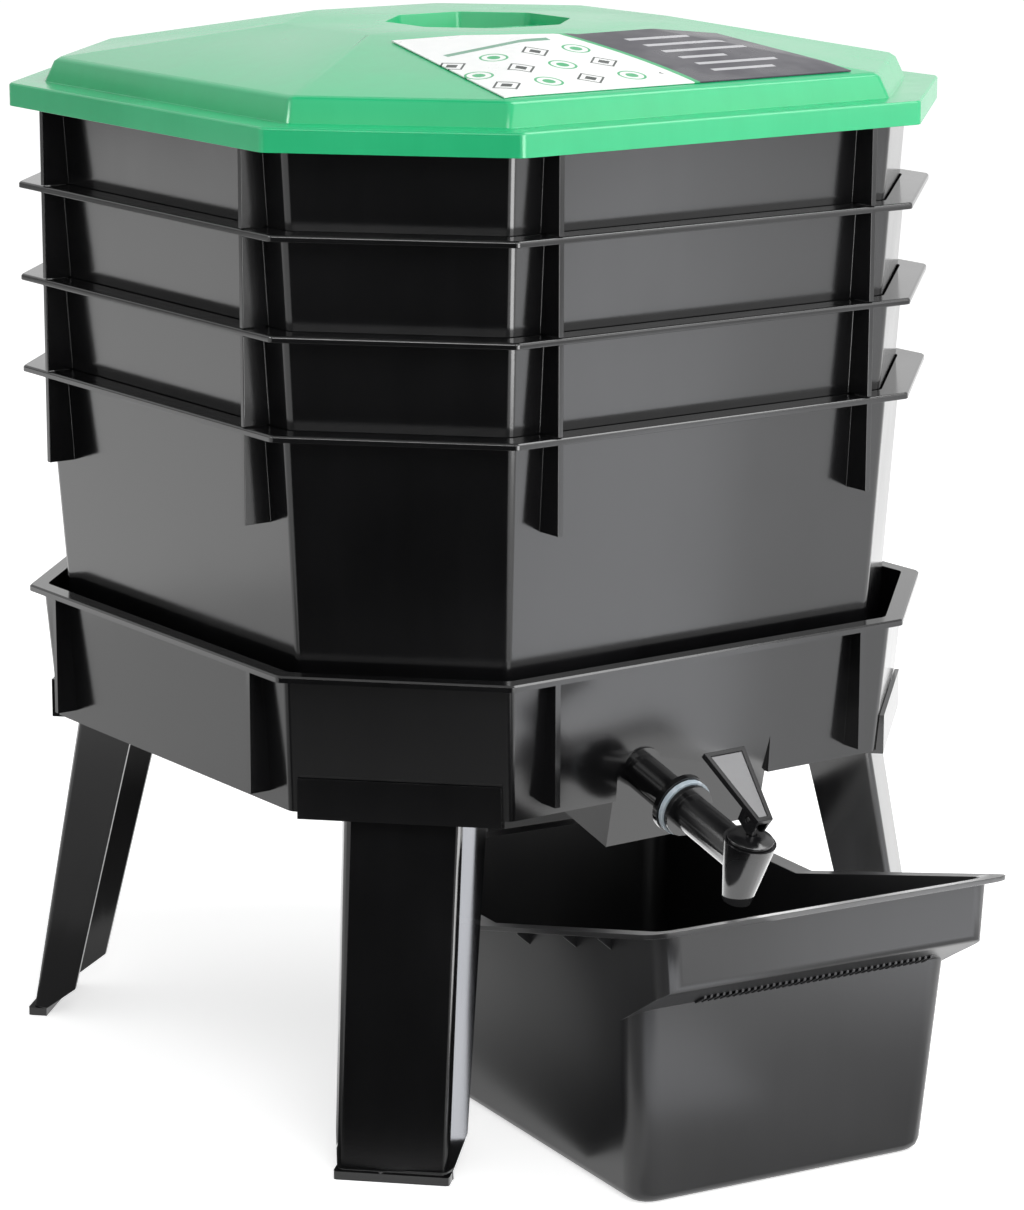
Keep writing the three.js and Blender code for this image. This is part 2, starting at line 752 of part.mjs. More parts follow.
function tapLever() {
  const plate = loft(
    { outline: leverOutline(0), height: -leverThick },
    { outline: leverOutline(0), height: 0 },
  );
  const panel = loft(
    { outline: leverOutline(leverFrame), height: -leverPanel },
    { outline: leverOutline(leverFrame), height: overrun },
  );
  const cheek = [
    new THREE.Vector2(0, -leverThick / 2),
    new THREE.Vector2(0, cheekChamfer - cheekDeep),
    new THREE.Vector2(cheekChamfer, -cheekDeep),
    new THREE.Vector2(cheekLong - cheekChamfer, -cheekDeep),
    new THREE.Vector2(cheekLong, -leverThick - cheekChamfer),
    new THREE.Vector2(cheekLong, -leverThick / 2),
  ];
  const slot = rectangle(-overrun, -cheekDeep - overrun, cheekLong + overrun, -leverThick);
  const hole = turned(rod(pinRadius + seatGap, -leverNoseWide, leverNoseWide), pinSides)
    .rotateY(Math.PI / 2).translate(0, pinBack, -pinDrop);
  const body = solid(plate).subtract(solid(panel))
    .add(solid(profileSlab(cheek, -leverNoseWide / 2, leverNoseWide / 2))
      .subtract(solid(profileSlab(slot, -cheekSlot / 2, cheekSlot / 2))))
    .subtract(solid(hole));
  return piece('tap_lever', body, tapPlastic());
}

function leverPin() {
  const half = leverNoseWide / 2 - seatGap;
  const pin = turned(rod(pinRadius, -half, half), pinSides).rotateY(Math.PI / 2).translate(0, pinBack, -pinDrop);
  return piece('tap_lever_pin', solid(pin), tapPlastic());
}

function tap() {
  const lever = new THREE.Group();
  lever.add(tapLever(), leverPin());
  lever.rotation.x = leverSlope;
  lever.position.set(0, -spoutReach - leverNoseReach, leverNoseTop);
  const group = new THREE.Group();
  group.add(tapBody(), tapBonnet(), ...tapWashers(), tapStem(), seatCup(), lever);
  group.rotation.x = tapTilt;
  group.position.set(tapX, tapY, tapHeight);
  return group;
}

// Bin outline at a height: drafted rectangle with round corners
function binLevel(height, grow, front, radius) {
  const draft = height * binDraftShare;
  const half = binHalf + draft + grow;
  return {
    outline: rounded(
      rectangle(binCentreX - half, front - grow, binCentreX + half, binBack + draft + grow), radius, binSteps),
    height,
  };
}

function binFrontAt(height) {
  return binFront - height * binDraftShare;
}

// Bin's drafted form with a rounded bottom edge, set in from the outer face by a wall
function binForm(wall, top) {
  const fillet = binFillet - wall;
  const turns = [0, 1, 2, 3].map((step) => step * Math.PI / 6);
  const levels = turns.map((turn) => {
    const height = wall + fillet * (1 - Math.cos(turn));
    const set = wall + fillet * (1 - Math.sin(turn));
    return binLevel(height, -set, binFrontAt(height), binRadius - set);
  });
  return loft(...levels, binLevel(top, -wall, binFrontAt(top), binRadius - wall));
}

// Space above the bin's rim line, dropped by a given amount
function aboveRim(drop) {
  const far = binFront - lipReach * 3;
  const climbTo = binRimHeight + (binRimBreak - far) * Math.tan(binRimSlope);
  return [
    new THREE.Vector2(-binBack * 2, binRimHeight - drop),
    new THREE.Vector2(-binBack * 2, binTallest * 2),
    new THREE.Vector2(far, binTallest * 2),
    new THREE.Vector2(far, climbTo - drop),
    new THREE.Vector2(binRimBreak, binRimHeight - drop),
  ];
}

// Front lip as an upright block with a leaning underside and a rounded lower edge
function lipBlock(inset) {
  const bodyFront = binFront - lipFoot * binDraftShare;
  const front = bodyFront - lipReach;
  const level = (height) => {
    const half = binHalf + height * binDraftShare - inset;
    return {
      outline: rounded(
        rectangle(binCentreX - half, front + inset, binCentreX + half, front + lipBack),
        lipRadius - inset, binSteps),
      height,
    };
  };
  const block = solid(loft(level(lipFoot - lipRise), level(binTallest)));
  const rise = inset * Math.hypot(1, lipRise / lipReach);
  const underAt = (y) => lipFoot + rise + (bodyFront - y) * lipRise / lipReach;
  const edge = front + inset;
  const turn = new THREE.QuadraticBezierCurve(
    new THREE.Vector2(edge + lipTurn, underAt(edge + lipTurn)),
    new THREE.Vector2(edge, underAt(edge)),
    new THREE.Vector2(edge, underAt(edge) + lipTurn),
  );
  const under = profileSlab([
    new THREE.Vector2(bodyFront + lipBack, underAt(bodyFront + lipBack)),
    ...turn.getPoints(lipSteps),
    new THREE.Vector2(edge - overrun, underAt(edge) + lipTurn + overrun),
    new THREE.Vector2(edge - overrun, lipFoot - lipBack),
    new THREE.Vector2(bodyFront + lipBack, lipFoot - lipBack),
  ], binCentreX - binHalf * 2, binCentreX + binHalf * 2);
  return block.subtract(solid(under));
}

function bin() {
  const wide = (points) => solid(profileSlab(points, binCentreX - binHalf * 2, binCentreX + binHalf * 2));
  const lipFront = binFrontAt(lipFoot) - lipReach;
  const flangePlan = solid(loft(
    binLevel(lipFoot - binFlange, binFlange, lipFront, binRadius),
    binLevel(binTallest, binFlange, lipFront, binRadius),
  ));
  const flange = flangePlan.intersect(wide(aboveRim(binFlangeThick)));
  const hollow = solid(binForm(binWall, binTallest + overrun)).add(lipBlock(binWall));
  const node = piece('collection_bin', solid(binForm(0, binTallest)).add(lipBlock(0)).add(flange)
    .subtract(wide(aboveRim(0))).subtract(hollow), binPlastic());
  node.rotation.z = binTurn;
  return node;
}

// Whole wormery, its origin under the middle of its bounding box
const wormery = new THREE.Group();
wormery.add(baseTray(), ...legs(), ...trays(), lid(), lidLabel(), tap(), bin());
wormery.updateMatrixWorld(true);
const extent = new THREE.Box3().setFromObject(wormery, true);
const middle = extent.getCenter(new THREE.Vector3());
wormery.position.set(-middle.x, -middle.y, -extent.min.z);
wormery.updateMatrixWorld(true);

export default wormery;
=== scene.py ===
# Stacked tray wormery: materials, moulded detail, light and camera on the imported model. Metres.
import json
import math

import bmesh
import bpy
from mathutils import Matrix, Vector


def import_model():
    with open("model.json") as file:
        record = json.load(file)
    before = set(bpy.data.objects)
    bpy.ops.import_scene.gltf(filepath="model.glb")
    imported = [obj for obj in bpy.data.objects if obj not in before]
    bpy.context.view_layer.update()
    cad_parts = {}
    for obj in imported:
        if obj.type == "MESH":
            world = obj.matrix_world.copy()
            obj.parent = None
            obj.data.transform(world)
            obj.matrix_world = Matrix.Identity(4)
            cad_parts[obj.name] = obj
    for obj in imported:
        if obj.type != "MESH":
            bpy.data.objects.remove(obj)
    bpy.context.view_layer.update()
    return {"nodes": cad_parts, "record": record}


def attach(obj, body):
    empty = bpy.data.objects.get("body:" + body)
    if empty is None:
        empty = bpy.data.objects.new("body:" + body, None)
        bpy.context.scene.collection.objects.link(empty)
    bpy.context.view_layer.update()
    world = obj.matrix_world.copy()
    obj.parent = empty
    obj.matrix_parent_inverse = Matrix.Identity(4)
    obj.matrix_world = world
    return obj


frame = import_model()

nodes = frame["nodes"]

# Camera fitted to the photograph, in the row frame
EYE = Vector((-1.3068, -1.7997, 0.7770))
TARGET = Vector((0.01565, 0.05368, 0.2464))
LENS = 124.0
SENSOR = 36.0
ROLL = 0.12
CLIP = (0.05, 100.0)

# Edge rounding of the carried-over nodes, in metres
EDGE = {"lid": 0.0006, "collection_bin": 0.0006, "base_tray": 0.0005, "lid_label": 0.0001}
LEG_EDGE = 0.0007
LEG_STEPS = 3
SMALL_EDGE = 0.0003
TRAY_EDGE = 0.0007
WELD_REACH = 0.00001
FLAT_ANGLE = math.radians(0.3)
SHARP_ANGLE = math.radians(40)
NORMAL_WEIGHT = 80

# Value range that noise mostly keeps to, and the sockets of a Mix node set to colour
NOISE_BAND = (0.3, 0.7)
MIX_SHARE, MIX_LOW, MIX_HIGH, MIX_RESULT = 0, 6, 7, 2

# Finest relief that bump draws, in metres
GRAIN_DEPTH = 0.0002
RIPPLE_DEPTH = 0.0005


# Short way to write node trees
class Tree:
    def __init__(self, owner):
        owner.use_nodes = True
        self.tree = owner.node_tree
        self.tree.nodes.clear()

    def add(self, kind, settings=(), **inputs):
        node = self.tree.nodes.new("ShaderNode" + kind)
        for name, value in dict(settings).items():
            setattr(node, name, value)
        for name, value in inputs.items():
            self.feed(node.inputs[name.replace("_", " ")], value)
        return node

    def feed(self, socket, value):
        if isinstance(value, bpy.types.NodeSocket):
            self.tree.links.new(value, socket)
        else:
            socket.default_value = value

    def place(self):
        return self.add("TexCoord").outputs["Object"]

    def axes(self, place):
        return self.add("SeparateXYZ", Vector=place).outputs

    def math(self, operation, *values):
        node = self.add("Math", {"operation": operation})
        for socket, value in zip(node.inputs, values):
            self.feed(socket, value)
        return node.outputs[0]

    def span(self, value, source, target=(0.0, 1.0)):
        node = self.add("MapRange", {"interpolation_type": "SMOOTHSTEP"})
        for socket, number in zip(node.inputs, (value, *source, *target)):
            self.feed(socket, number)
        return node.outputs[0]

    def blend(self, share, low, high):
        node = self.add("Mix", {"data_type": "RGBA"})
        self.feed(node.inputs[MIX_SHARE], share)
        self.feed(node.inputs[MIX_LOW], low)
        self.feed(node.inputs[MIX_HIGH], high)
        return node.outputs[MIX_RESULT]

    def noise(self, place, scale, detail=2.0, rough=0.5):
        node = self.add("TexNoise", Vector=place, Scale=scale, Detail=detail, Roughness=rough)
        return node.outputs[0]

    def bump(self, height, strength, distance=GRAIN_DEPTH):
        return self.add("Bump", Strength=strength, Distance=distance, Height=height).outputs[0]

    # One for rays that come straight from the camera or by way of a reflection, else nought
    def seen(self):
        rays = self.add("LightPath").outputs
        bent = self.math("MAXIMUM", rays["Is Glossy Ray"], rays["Is Transmission Ray"])
        return self.math("MAXIMUM", rays["Is Camera Ray"], bent)

    def surface(self, **inputs):
        shader = self.add("BsdfPrincipled", **inputs)
        self.add("OutputMaterial", Surface=shader.outputs[0])


def colour(r, g, b):
    return (r, g, b, 1.0)


# Moulded plastic: slow shade change, flow streaks, fine grain, gloss that varies a little, and
# where it is given a painted reflection low down
def plastic(name, low, high, gloss, grain, streak, ior=1.5, pale=None):
    material = bpy.data.materials.new(name)
    t = Tree(material)
    place = t.place()
    slow = t.noise(place, scale=7.0, detail=3.0)
    fine = t.noise(place, scale=950.0, rough=0.6)
    flow = t.add("Mapping", Vector=place, Scale=(90.0, 90.0, 6.0)).outputs[0]
    lines = t.noise(flow, scale=1.0, detail=4.0, rough=0.65)
    mottle = t.math("ADD", slow, t.math("MULTIPLY", lines, 0.35))
    tone = t.blend(t.span(mottle, (0.45, 0.9)), low, high)
    # Where it is given, pale is (low height, high height, colour): the shade below the low height,
    # a paler painted reflection of the lit floor
    if pale:
        foot, top, light = pale
        tone = t.blend(t.span(t.axes(place)[2], (foot, top), (1.0, 0.0)), tone, light)
    rough = t.math("ADD", t.span(slow, NOISE_BAND, gloss), t.math("MULTIPLY", lines, streak))
    t.surface(Base_Color=tone, Roughness=rough, IOR=ior, Normal=t.bump(fine, grain))
    return material


# Rubber: matt, with a powdery bloom
def rubber(name, low, high, matt):
    material = bpy.data.materials.new(name)
    t = Tree(material)
    place = t.place()
    bloom = t.noise(place, scale=160.0, detail=4.0)
    pores = t.noise(place, scale=2200.0)
    t.surface(Base_Color=t.blend(t.span(bloom, (0.35, 0.7)), low, high),
              Roughness=t.span(bloom, NOISE_BAND, matt), Normal=t.bump(pores, 0.12))
    return material


# Layout of the printed film, in metres along the row frame's x and y
MOTIF_START = (-0.1170, -0.1205)
MOTIF_PITCH = (0.0260, 0.0240)
MOTIF_FIELD = (-0.1205, -0.0485)
MOTIF_MARGIN = 0.010
HEADER = ((-0.0950, -0.0300), (-0.0440, -0.0395))
CURVE_START = 0.004
CURVE_TURN = 0.128
CURVE_BEND = -2.2
BAND_WIDE = 0.0035
BAR_FIELD = (-0.1150, -0.0480)
BAR_PITCH = 0.0115
BAR_MARGIN = 0.022
BAR_END, BAR_END_SWING, BAR_END_STEP = 0.066, 0.014, 2.3

# Motifs and bars, as shares of the cell that each fills
ROW_SQUASH = 0.92
RING, RING_DOT = (0.24, 0.29), (-1.0, 0.13)
DIAMOND, DIAMOND_DOT = (0.28, 0.34), (-1.0, 0.15)
BAR_HEIGHT = (-0.16, 0.16)

PRINT_GREEN = colour(0.05, 0.42, 0.17)


# Printed film: pale field with rows of plain ring and diamond motifs, a curved band and a dark
# field with bars
def printed(name):
    material = bpy.data.materials.new(name)
    t = Tree(material)
    place = t.place()
    across, along = t.axes(place)[:2]

    def cells(value, start, pitch):
        steps = t.math("DIVIDE", t.math("SUBTRACT", value, start), pitch)
        whole = t.math("FLOOR", steps)
        return whole, t.math("SUBTRACT", t.math("SUBTRACT", steps, whole), 0.5)

    def inside(value, limits):
        above = t.math("GREATER_THAN", value, limits[0])
        return t.math("MULTIPLY", above, t.math("LESS_THAN", value, limits[1]))

    # Edge between the pale and the dark field
    bow = t.math("POWER", t.math("ADD", along, CURVE_TURN), 2.0)
    edge = t.math("ADD", CURVE_START, t.math("MULTIPLY", bow, CURVE_BEND))

    # Rings and diamonds by turns
    column, x = cells(across, MOTIF_START[0], MOTIF_PITCH[0])
    row, y = cells(along, MOTIF_START[1], MOTIF_PITCH[1])
    flat_x, flat_y = t.math("ABSOLUTE", x), t.math("ABSOLUTE", t.math("MULTIPLY", y, ROW_SQUASH))
    squares = t.math("ADD", t.math("POWER", flat_x, 2.0), t.math("POWER", flat_y, 2.0))
    reach = t.math("POWER", squares, 0.5)
    corner = t.math("ADD", flat_x, flat_y)
    parity = t.math("MODULO", t.math("ABSOLUTE", t.math("ADD", column, row)), 2.0)
    rings = t.math("ADD", inside(reach, RING), inside(reach, RING_DOT))
    diamonds = t.math("ADD", inside(corner, DIAMOND), inside(corner, DIAMOND_DOT))
    shapes = t.math("ADD", t.math("MULTIPLY", parity, rings),
                    t.math("MULTIPLY", t.math("SUBTRACT", 1.0, parity), diamonds))
    before_edge = t.math("LESS_THAN", across, t.math("SUBTRACT", edge, MOTIF_MARGIN))
    motif = t.math("MULTIPLY", shapes, t.math("MULTIPLY", inside(along, MOTIF_FIELD), before_edge))
    pale = t.blend(t.noise(place, 120.0), colour(0.84, 0.86, 0.85), colour(0.92, 0.93, 0.92))
    ink = t.blend(parity, colour(0.045, 0.055, 0.05), PRINT_GREEN)
    header = t.math("MULTIPLY", inside(along, HEADER[1]), inside(across, HEADER[0]))
    tone = t.blend(header, t.blend(motif, pale, ink), colour(0.16, 0.36, 0.25))

    # Bars of uneven length on the dark field
    line, level = cells(along, BAR_FIELD[0], BAR_PITCH)
    swing = t.math("SINE", t.math("MULTIPLY", line, BAR_END_STEP))
    end = t.math("ADD", BAR_END, t.math("MULTIPLY", swing, BAR_END_SWING))
    length = inside(across, (t.math("ADD", edge, BAR_MARGIN), end))
    bars = t.math("MULTIPLY", inside(level, BAR_HEIGHT), length)
    bars = t.math("MULTIPLY", bars, inside(along, BAR_FIELD))
    dark = t.blend(t.noise(place, 60.0), colour(0.048, 0.046, 0.058), colour(0.066, 0.064, 0.078))
    dark = t.blend(bars, dark, colour(0.50, 0.50, 0.52))
    tone = t.blend(t.math("GREATER_THAN", across, edge), tone, dark)

    # Curved band along the edge
    band = inside(across, (t.math("SUBTRACT", edge, BAND_WIDE), edge))
    tone = t.blend(band, tone, PRINT_GREEN)
    ripple = t.noise(place, 45.0)
    t.surface(Base_Color=tone, Roughness=t.span(ripple, NOISE_BAND, (0.26, 0.40)),
              Specular_IOR_Level=0.2, Normal=t.bump(ripple, 0.12, RIPPLE_DEPTH))
    return material


LOOKS = {
    "black_plastic": plastic(
        "black_plastic", colour(0.0035, 0.0035, 0.0038), colour(0.006, 0.006, 0.0065),
        gloss=(0.10, 0.15), grain=0.04, streak=0.05, ior=1.55),
    "bin_plastic": plastic(
        "bin_plastic", colour(0.006, 0.006, 0.0068), colour(0.010, 0.010, 0.0112),
        gloss=(0.26, 0.32), grain=0.06, streak=0.05, ior=1.55),
    "green_plastic": plastic(
        "green_plastic", colour(0.017, 0.46, 0.180), colour(0.021, 0.51, 0.205),
        gloss=(0.16, 0.24), grain=0.04, streak=0.05),
    "label_film": printed("label_film"),
    "tap_plastic": plastic(
        "tap_plastic", colour(0.0065, 0.0065, 0.007), colour(0.011, 0.011, 0.012),
        gloss=(0.14, 0.22), grain=0.04, streak=0.04, ior=1.55,
        # Paler spout below the barrel: painted reflection of the lit floor in front
        pale=(0.168, 0.184, colour(0.045, 0.045, 0.047))),
    "pale_rubber": rubber(
        "pale_rubber", colour(0.42, 0.50, 0.56), colour(0.60, 0.67, 0.72), matt=(0.42, 0.60)),
    "black_rubber": rubber(
        "black_rubber", colour(0.010, 0.010, 0.010), colour(0.020, 0.020, 0.021), matt=(0.6, 0.8)),
}
LEVER_LOOK = plastic(
    "lever_plastic", colour(0.004, 0.004, 0.0045), colour(0.007, 0.007, 0.008),
    gloss=(0.12, 0.20), grain=0.04, streak=0.04, ior=1.22)
INLAY_LOOK = plastic(
    "satin_inlay", colour(0.14, 0.14, 0.145), colour(0.19, 0.19, 0.195),
    gloss=(0.28, 0.38), grain=0.08, streak=0.08)
SLOT_OF = {part["node"]: part["material_slot"] for part in frame["record"]["subparts"]}


def bevel_edges(piece, width, steps=2):
    bevel = piece.modifiers.new("edges", "BEVEL")
    bevel.width = width
    bevel.segments = steps
    bevel.limit_method = "ANGLE"
    return bevel


def smooth(piece):
    for polygon in piece.data.polygons:
        polygon.use_smooth = True
    normals = piece.modifiers.new("normals", "WEIGHTED_NORMAL")
    normals.mode = "FACE_AREA"
    normals.weight = NORMAL_WEIGHT


# Welded, cleaned and finely rounded edges, with flat faces kept flat
def round_edges(piece, width, steps=2):
    weld = piece.modifiers.new("weld", "WELD")
    weld.merge_threshold = WELD_REACH
    clean = piece.modifiers.new("clean", "DECIMATE")
    clean.decimate_type = "DISSOLVE"
    clean.angle_limit = FLAT_ANGLE
    bevel = bevel_edges(piece, width, steps)
    bevel.angle_limit = SHARP_ANGLE
    bevel.miter_outer = "MITER_ARC"
    smooth(piece)


for name, node in nodes.items():
    node.data.materials.clear()
    node.data.materials.append(LEVER_LOOK if name == "tap_lever" else LOOKS[SLOT_OF[name]])
    if name.startswith("tray_"):
        round_edges(node, TRAY_EDGE)
    elif name.startswith("leg_"):
        round_edges(node, LEG_EDGE, LEG_STEPS)
    else:
        round_edges(node, EDGE.get(name, SMALL_EDGE))


# Moulded details, laid out in millimetres in the frame of the piece that carries them.
# The first shift leads from the CAD's own origin to the row frame.
SHIFT = Matrix.Translation((0, 64.786, 0))
BIN_FRAME = SHIFT @ Matrix.Rotation(math.radians(-6.4), 4, "Z")
LEVER_FRAME = (SHIFT @ Matrix.Translation((-38, -239, 190.5))
               @ Matrix.Rotation(math.radians(16.5), 4, "X")
               @ Matrix.Translation((0, -61.2, 27)) @ Matrix.Rotation(math.radians(24), 4, "X"))
TO_METRES = (0.001, 0.001, 0.001)
DETAIL_EDGE = 0.0003
INLAY_EDGE = 0.00012

BIN_MIDDLE = 20.5

RIB_COUNT = 38
RIB_PITCH = 3.7
RIB_WIDE = 1.7
RIB_LONG = 12.0
RIB_PROUD = 1.9
RIB_SUNK = 0.6
RIB_INSET = 0.8
RIB_ENDS = (1.0, 1.4)
RIB_ROW_HALF = 62.0
LIP_FOOT, LIP_FRONT = 108.0, -301.56
LIP_RISE, LIP_REACH = 17.5, 29.5

BRACKET_PLACES = (-282.0, -246.0, -196.0, -120.0, -60.0)
BRACKET_THICK = 2.2
BRACKET_REACH = 7.4
BRACKET_TOP, BRACKET_TIP, BRACKET_FOOT = 0.2, -1.5, -8.0
BRACKET_SUNK = 0.6
RIM_HEIGHT = 114.0
RIM_THICK = 2.6
RIM_CLIMB_START = -155.0
RIM_CLIMB = math.tan(math.radians(14.1))
BIN_HALF = 88.5
BIN_DRAFT = 0.07

LEVER_TIP_WIDE, LEVER_ROOT_WIDE, LEVER_LONG = 26.0, 9.5, 45.0
INLAY_MARGIN = 2.75
INLAY_SUNK = -1.0
INLAY_THICK = 0.55


def linked(name, data):
    thing = bpy.data.objects.new(name, data)
    bpy.context.scene.collection.objects.link(thing)
    return thing


# One piece from prisms, each an outline and the way that it is drawn out
def moulding(name, prisms, place, body, look, edge):
    mesh = bpy.data.meshes.new(name)
    shape = bmesh.new()
    for outline, offset in prisms:
        low = [shape.verts.new(place @ Vector(point)) for point in outline]
        high = [shape.verts.new(place @ (Vector(point) + Vector(offset))) for point in outline]
        shape.faces.new(low)
        shape.faces.new(high)
        for i in range(len(outline)):
            j = (i + 1) % len(outline)
            shape.faces.new((low[i], low[j], high[j], high[i]))
    bmesh.ops.recalc_face_normals(shape, faces=shape.faces)
    bmesh.ops.scale(shape, vec=TO_METRES, verts=shape.verts)
    shape.to_mesh(mesh)
    shape.free()
    mesh.materials.append(look)
    piece = linked(name, mesh)
    bevel_edges(piece, edge)
    smooth(piece)
    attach(piece, body)


def bin_detail(name, prisms):
    moulding(name, prisms, BIN_FRAME, "bin", LOOKS["bin_plastic"], DETAIL_EDGE)


# Row of small ribs on the sloping underside of the bin's lip
def lip_ribs():
    slope = math.atan2(LIP_RISE, LIP_REACH)
    along = Vector((0, -math.cos(slope), math.sin(slope)))
    out = Vector((0, -math.sin(slope), -math.cos(slope)))
    crest = out * RIB_PROUD
    prisms = []
    for i in range(RIB_COUNT):
        corner = Vector((BIN_MIDDLE - RIB_ROW_HALF + i * RIB_PITCH, LIP_FRONT, LIP_FOOT))
        start = corner + along * RIB_INSET - out * RIB_SUNK
        outline = [start, start + along * RIB_LONG,
                   start + along * (RIB_LONG - RIB_ENDS[1]) + crest,
                   start + along * RIB_ENDS[0] + crest]
        prisms.append((outline, (RIB_WIDE, 0, 0)))
    bin_detail("bin_lip_ribs", prisms)


# Small brackets under the bin's side rims
def rim_brackets():
    prisms = []
    for y in BRACKET_PLACES:
        rim = RIM_HEIGHT + max(0.0, RIM_CLIMB_START - y) * RIM_CLIMB - RIM_THICK
        for side in (-1, 1):
            wall = BIN_MIDDLE + side * (BIN_HALF + BIN_DRAFT * rim - BRACKET_SUNK)
            tip = wall + side * BRACKET_REACH
            outline = [(wall, y, rim + BRACKET_TOP), (tip, y, rim + BRACKET_TOP),
                       (tip, y, rim + BRACKET_TIP), (wall, y, rim + BRACKET_FOOT)]
            prisms.append((outline, (0, BRACKET_THICK, 0)))
    bin_detail("bin_rim_brackets", prisms)


# Satin inlay in the recess of the tap lever
def lever_inlay():
    taper = (LEVER_TIP_WIDE - LEVER_ROOT_WIDE) / 2 / LEVER_LONG
    outline = []
    for y, sides in ((INLAY_MARGIN, (-1, 1)), (LEVER_LONG - INLAY_MARGIN, (1, -1))):
        half = LEVER_ROOT_WIDE / 2 + taper * y - INLAY_MARGIN
        outline += [(side * half, y, INLAY_SUNK) for side in sides]
    moulding("tap_lever_inlay", [(outline, (0, 0, INLAY_THICK))], LEVER_FRAME, "tap_lever",
             INLAY_LOOK, INLAY_EDGE)


lip_ribs()
rim_brackets()
lever_inlay()

# Stage: a floor and a sky that show white, soft lamps, lamps that only reflections see, and cards
# that only reflections see, which carry painted shade and glow as painted light. A lamp of
# radiance 1 is as bright as a white background of strength 1.
WHITE = (1, 1, 1)
COOL = (0.92, 0.94, 1.0)
MIDDLE = (0.0, 0.0, 0.4)
FLOOR_SIZE = 60.0
FLOOR_GLOW = 0.66
# Glow of the cards: painted light from sheets that are no lamps
CARD_PAINTED_GLOW = 0.75
SKY_LEVEL = 0.50


def turned(*degrees):
    return tuple(math.radians(angle) for angle in degrees)


FLAT = turned(0, 0, 0)
UPWARD = turned(180, 0, 0)
TO_THE_BACK = turned(90, 0, 0)


def sheet(name, wide, high):
    w, h = wide / 2, high / 2
    mesh = bpy.data.meshes.new(name)
    mesh.from_pydata([(-w, -h, 0), (w, -h, 0), (w, h, 0), (-w, h, 0)], [], [(0, 1, 2, 3)])
    return linked(name, mesh)


def floor():
    plane = sheet("floor", FLOOR_SIZE, FLOOR_SIZE)
    material = bpy.data.materials.new("floor")
    t = Tree(material)
    place = t.place()
    paper = t.blend(t.noise(place, 3.0), colour(0.80, 0.80, 0.80), colour(0.83, 0.83, 0.83))
    t.surface(Base_Color=paper, Roughness=t.span(t.noise(place, 40.0), NOISE_BAND, (0.85, 0.95)),
              Specular_IOR_Level=0.0, Emission_Color=colour(*WHITE),
              Emission_Strength=t.math("MULTIPLY", t.seen(), FLOOR_GLOW))
    plane.data.materials.append(material)


def world(level):
    sky = bpy.data.worlds.new("studio")
    bpy.context.scene.world = sky
    t = Tree(sky)
    strength = t.math("ADD", t.math("MULTIPLY", t.seen(), 1.0 - level), level)
    back = t.add("Background", Color=colour(*WHITE), Strength=strength)
    t.add("OutputWorld", Surface=back.outputs[0])


def facing(place):
    return (Vector(MIDDLE) - Vector(place)).to_track_quat("-Z", "Y").to_euler()


# Lamp that faces the middle of the object, unless it is turned another way
def lamp(name, place, wide, high, radiance, turn=None, fills=True, tint=WHITE):
    light = bpy.data.lights.new(name, "AREA")
    light.shape = "RECTANGLE"
    light.size, light.size_y = wide, high
    light.energy = radiance * math.pi * wide * high
    light.color = tint
    thing = linked(name, light)
    thing.location = place
    thing.rotation_euler = turn or facing(place)
    thing.visible_camera = False
    thing.visible_diffuse = fills


# Lamp that only reflections see
def gleam(name, place, wide, high, radiance, turn=None, tint=WHITE):
    lamp(name, place, wide, high, radiance, turn, False, tint)


# Panel that lies on the floor, running away from a start point along an azimuth counted from the
# front. Reach and side are its limits along that way and across it.
def floor_panel(name, start, azimuth, reach, side, radiance, tint=COOL):
    angle = math.radians(azimuth)
    away = Vector((math.sin(angle), -math.cos(angle), 0))
    across = Vector((math.cos(angle), math.sin(angle), 0))
    place = Vector(start) + away * sum(reach) / 2 + across * sum(side) / 2
    lamp(name, place, side[1] - side[0], reach[1] - reach[0], radiance,
         turn=(math.pi, 0, angle), tint=tint)


# Card that only reflections see: a painted reflection, dark cards painting shade and pale ones
# painting light, glowing though it is no lamp; its shade runs from one end to the other
def card(name, place, wide, high, shades, turn=FLAT):
    thing = sheet(name, wide, high)
    thing.location = place
    thing.rotation_euler = turn
    material = bpy.data.materials.new(name)
    t = Tree(material)
    texture = t.place()
    along = t.span(t.axes(texture)[1], (-high / 2, high / 2))
    painted_reflection = t.blend(along, *(colour(shade, shade, shade) for shade in shades))
    t.surface(Base_Color=painted_reflection, Emission_Color=painted_reflection, Emission_Strength=CARD_PAINTED_GLOW,
              Roughness=t.span(t.noise(texture, 90.0), NOISE_BAND, (0.9, 1.0)),
              Specular_IOR_Level=0.0)
    thing.data.materials.append(material)
    thing.visible_camera = False
    thing.visible_diffuse = False
    thing.visible_shadow = False


floor()
world(SKY_LEVEL)

# Soft boxes
lamp("box_right", (1.45, -1.85, 1.20), wide=2.2, high=2.0, radiance=2.0)
lamp("box_left", (-0.75, -1.65, 1.75), wide=0.9, high=0.9, radiance=6.0)
lamp("box_top", (0.90, -0.50, 2.00), wide=0.8, high=0.8, radiance=6.0)

# Gleams on the trays, the rims, the leg, the tap and the bin
gleam("band", (-0.05, -1.30, 0.46), wide=0.62, high=0.90, radiance=9.0, turn=TO_THE_BACK)
gleam("rim_left", (-1.55, -1.05, 1.35), wide=0.7, high=0.4, radiance=12.0)
gleam("corner", (-1.55, 0.45, 1.50), wide=0.5, high=0.5, radiance=16.0)
gleam("fill_leg", (-0.108, -0.1161, 0.095), wide=0.185, high=0.0095, radiance=3.8,
      turn=turned(-90, 84.3, -90), tint=COOL)
gleam("fill_tap", (0.018, -0.21, 0.155), wide=0.145, high=0.18, radiance=2.4, turn=UPWARD)
gleam("low_bin", (-0.085, -0.355, 0.008), wide=0.19, high=0.11, radiance=1.5, turn=UPWARD,
      tint=COOL)

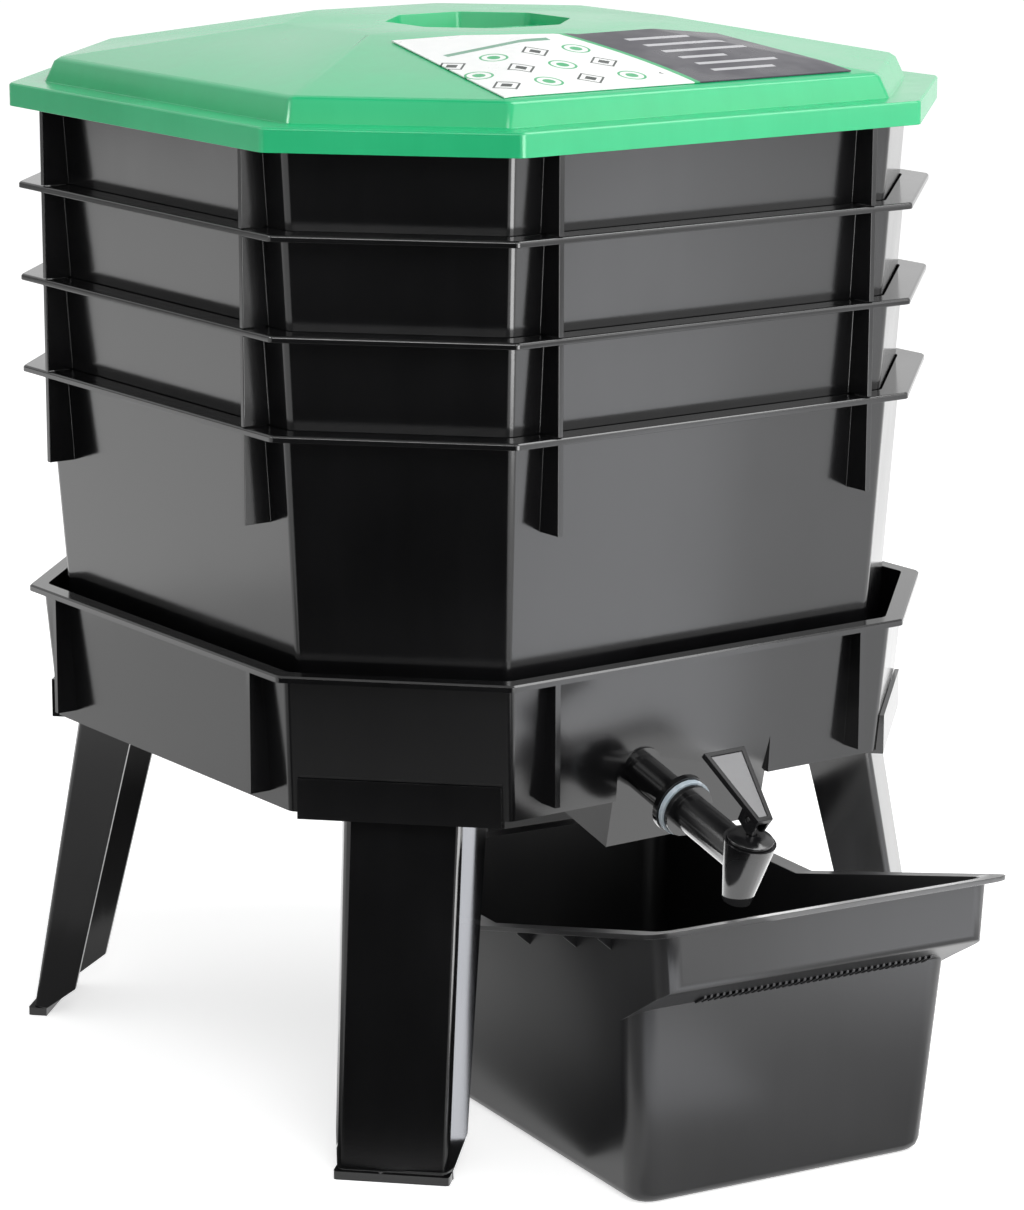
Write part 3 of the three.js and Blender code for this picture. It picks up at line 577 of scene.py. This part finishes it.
# Panels on the floor, at the front right and behind
RIGHT_START = (0, -0.14, 0.01)
BACK_START = (-0.2, 0.05, 0.01)
floor_panel("low_right", RIGHT_START, azimuth=39.0, reach=(0.30, 2.70), side=(-0.17, 0.03),
            radiance=1.7)
floor_panel("low_far_right", RIGHT_START, azimuth=39.0, reach=(0.40, 2.70), side=(0.03, 0.50),
            radiance=0.4)
floor_panel("low_back", BACK_START, azimuth=-151.0, reach=(0.90, 3.20), side=(-0.50, 0.50),
            radiance=0.6, tint=WHITE)

# Cards on the floor, at the left, overhead and behind: painted reflections, dark ones standing in
# for shade and pale ones for lit surroundings
card("card_low", (-1.06, -0.74, 0.004), 0.9, 2.0, shades=(0.01, 0.01), turn=turned(0, 0, -55))
card("card_near", (-0.536, -0.373, 0.006), 0.5, 0.72, shades=(0.01, 0.28), turn=turned(0, 0, -55))
card("card_high", (-1.10, -0.80, 0.30), 1.0, 0.6, shades=(0.025, 0.025), turn=turned(90, 0, -55))
card("card_left", (-0.71, 0.15, 0.004), 0.64, 0.30, shades=(0.36, 0.36))
card("card_leg", (-0.288, 0.07, 0.005), 0.205, 0.40, shades=(0.03, 0.20))
card("card_side", (-0.1425, 0.0, 0.006), 0.085, 0.32, shades=(0.005, 0.75))
card("card_bin", (0.03, -0.30, 0.004), 0.13, 0.30, shades=(0.42, 0.60), turn=turned(0, 0, 83.6))
card("card_sky", (-0.03, 0.55, 2.40), 1.2, 1.2, shades=(0.02, 0.02))
card("card_far", (-1.55, 2.70, 0.75), 1.5, 1.5, shades=(0.33, 0.33), turn=turned(90, 0, 30))
card("card_right", (-0.06, -0.66, 0.004), 0.14, 0.24, shades=(0.06, 0.06))

# Camera
camera = linked("camera", bpy.data.cameras.new("camera"))
camera.location = EYE
aim = (TARGET - EYE).to_track_quat("-Z", "Y").to_matrix().to_4x4()
camera.rotation_euler = (aim @ Matrix.Rotation(math.radians(ROLL), 4, "Z")).to_euler()
camera.data.lens = LENS
camera.data.sensor_width = SENSOR
camera.data.clip_start, camera.data.clip_end = CLIP
bpy.context.scene.camera = camera
bpy.context.scene.view_settings.view_transform = "Standard"
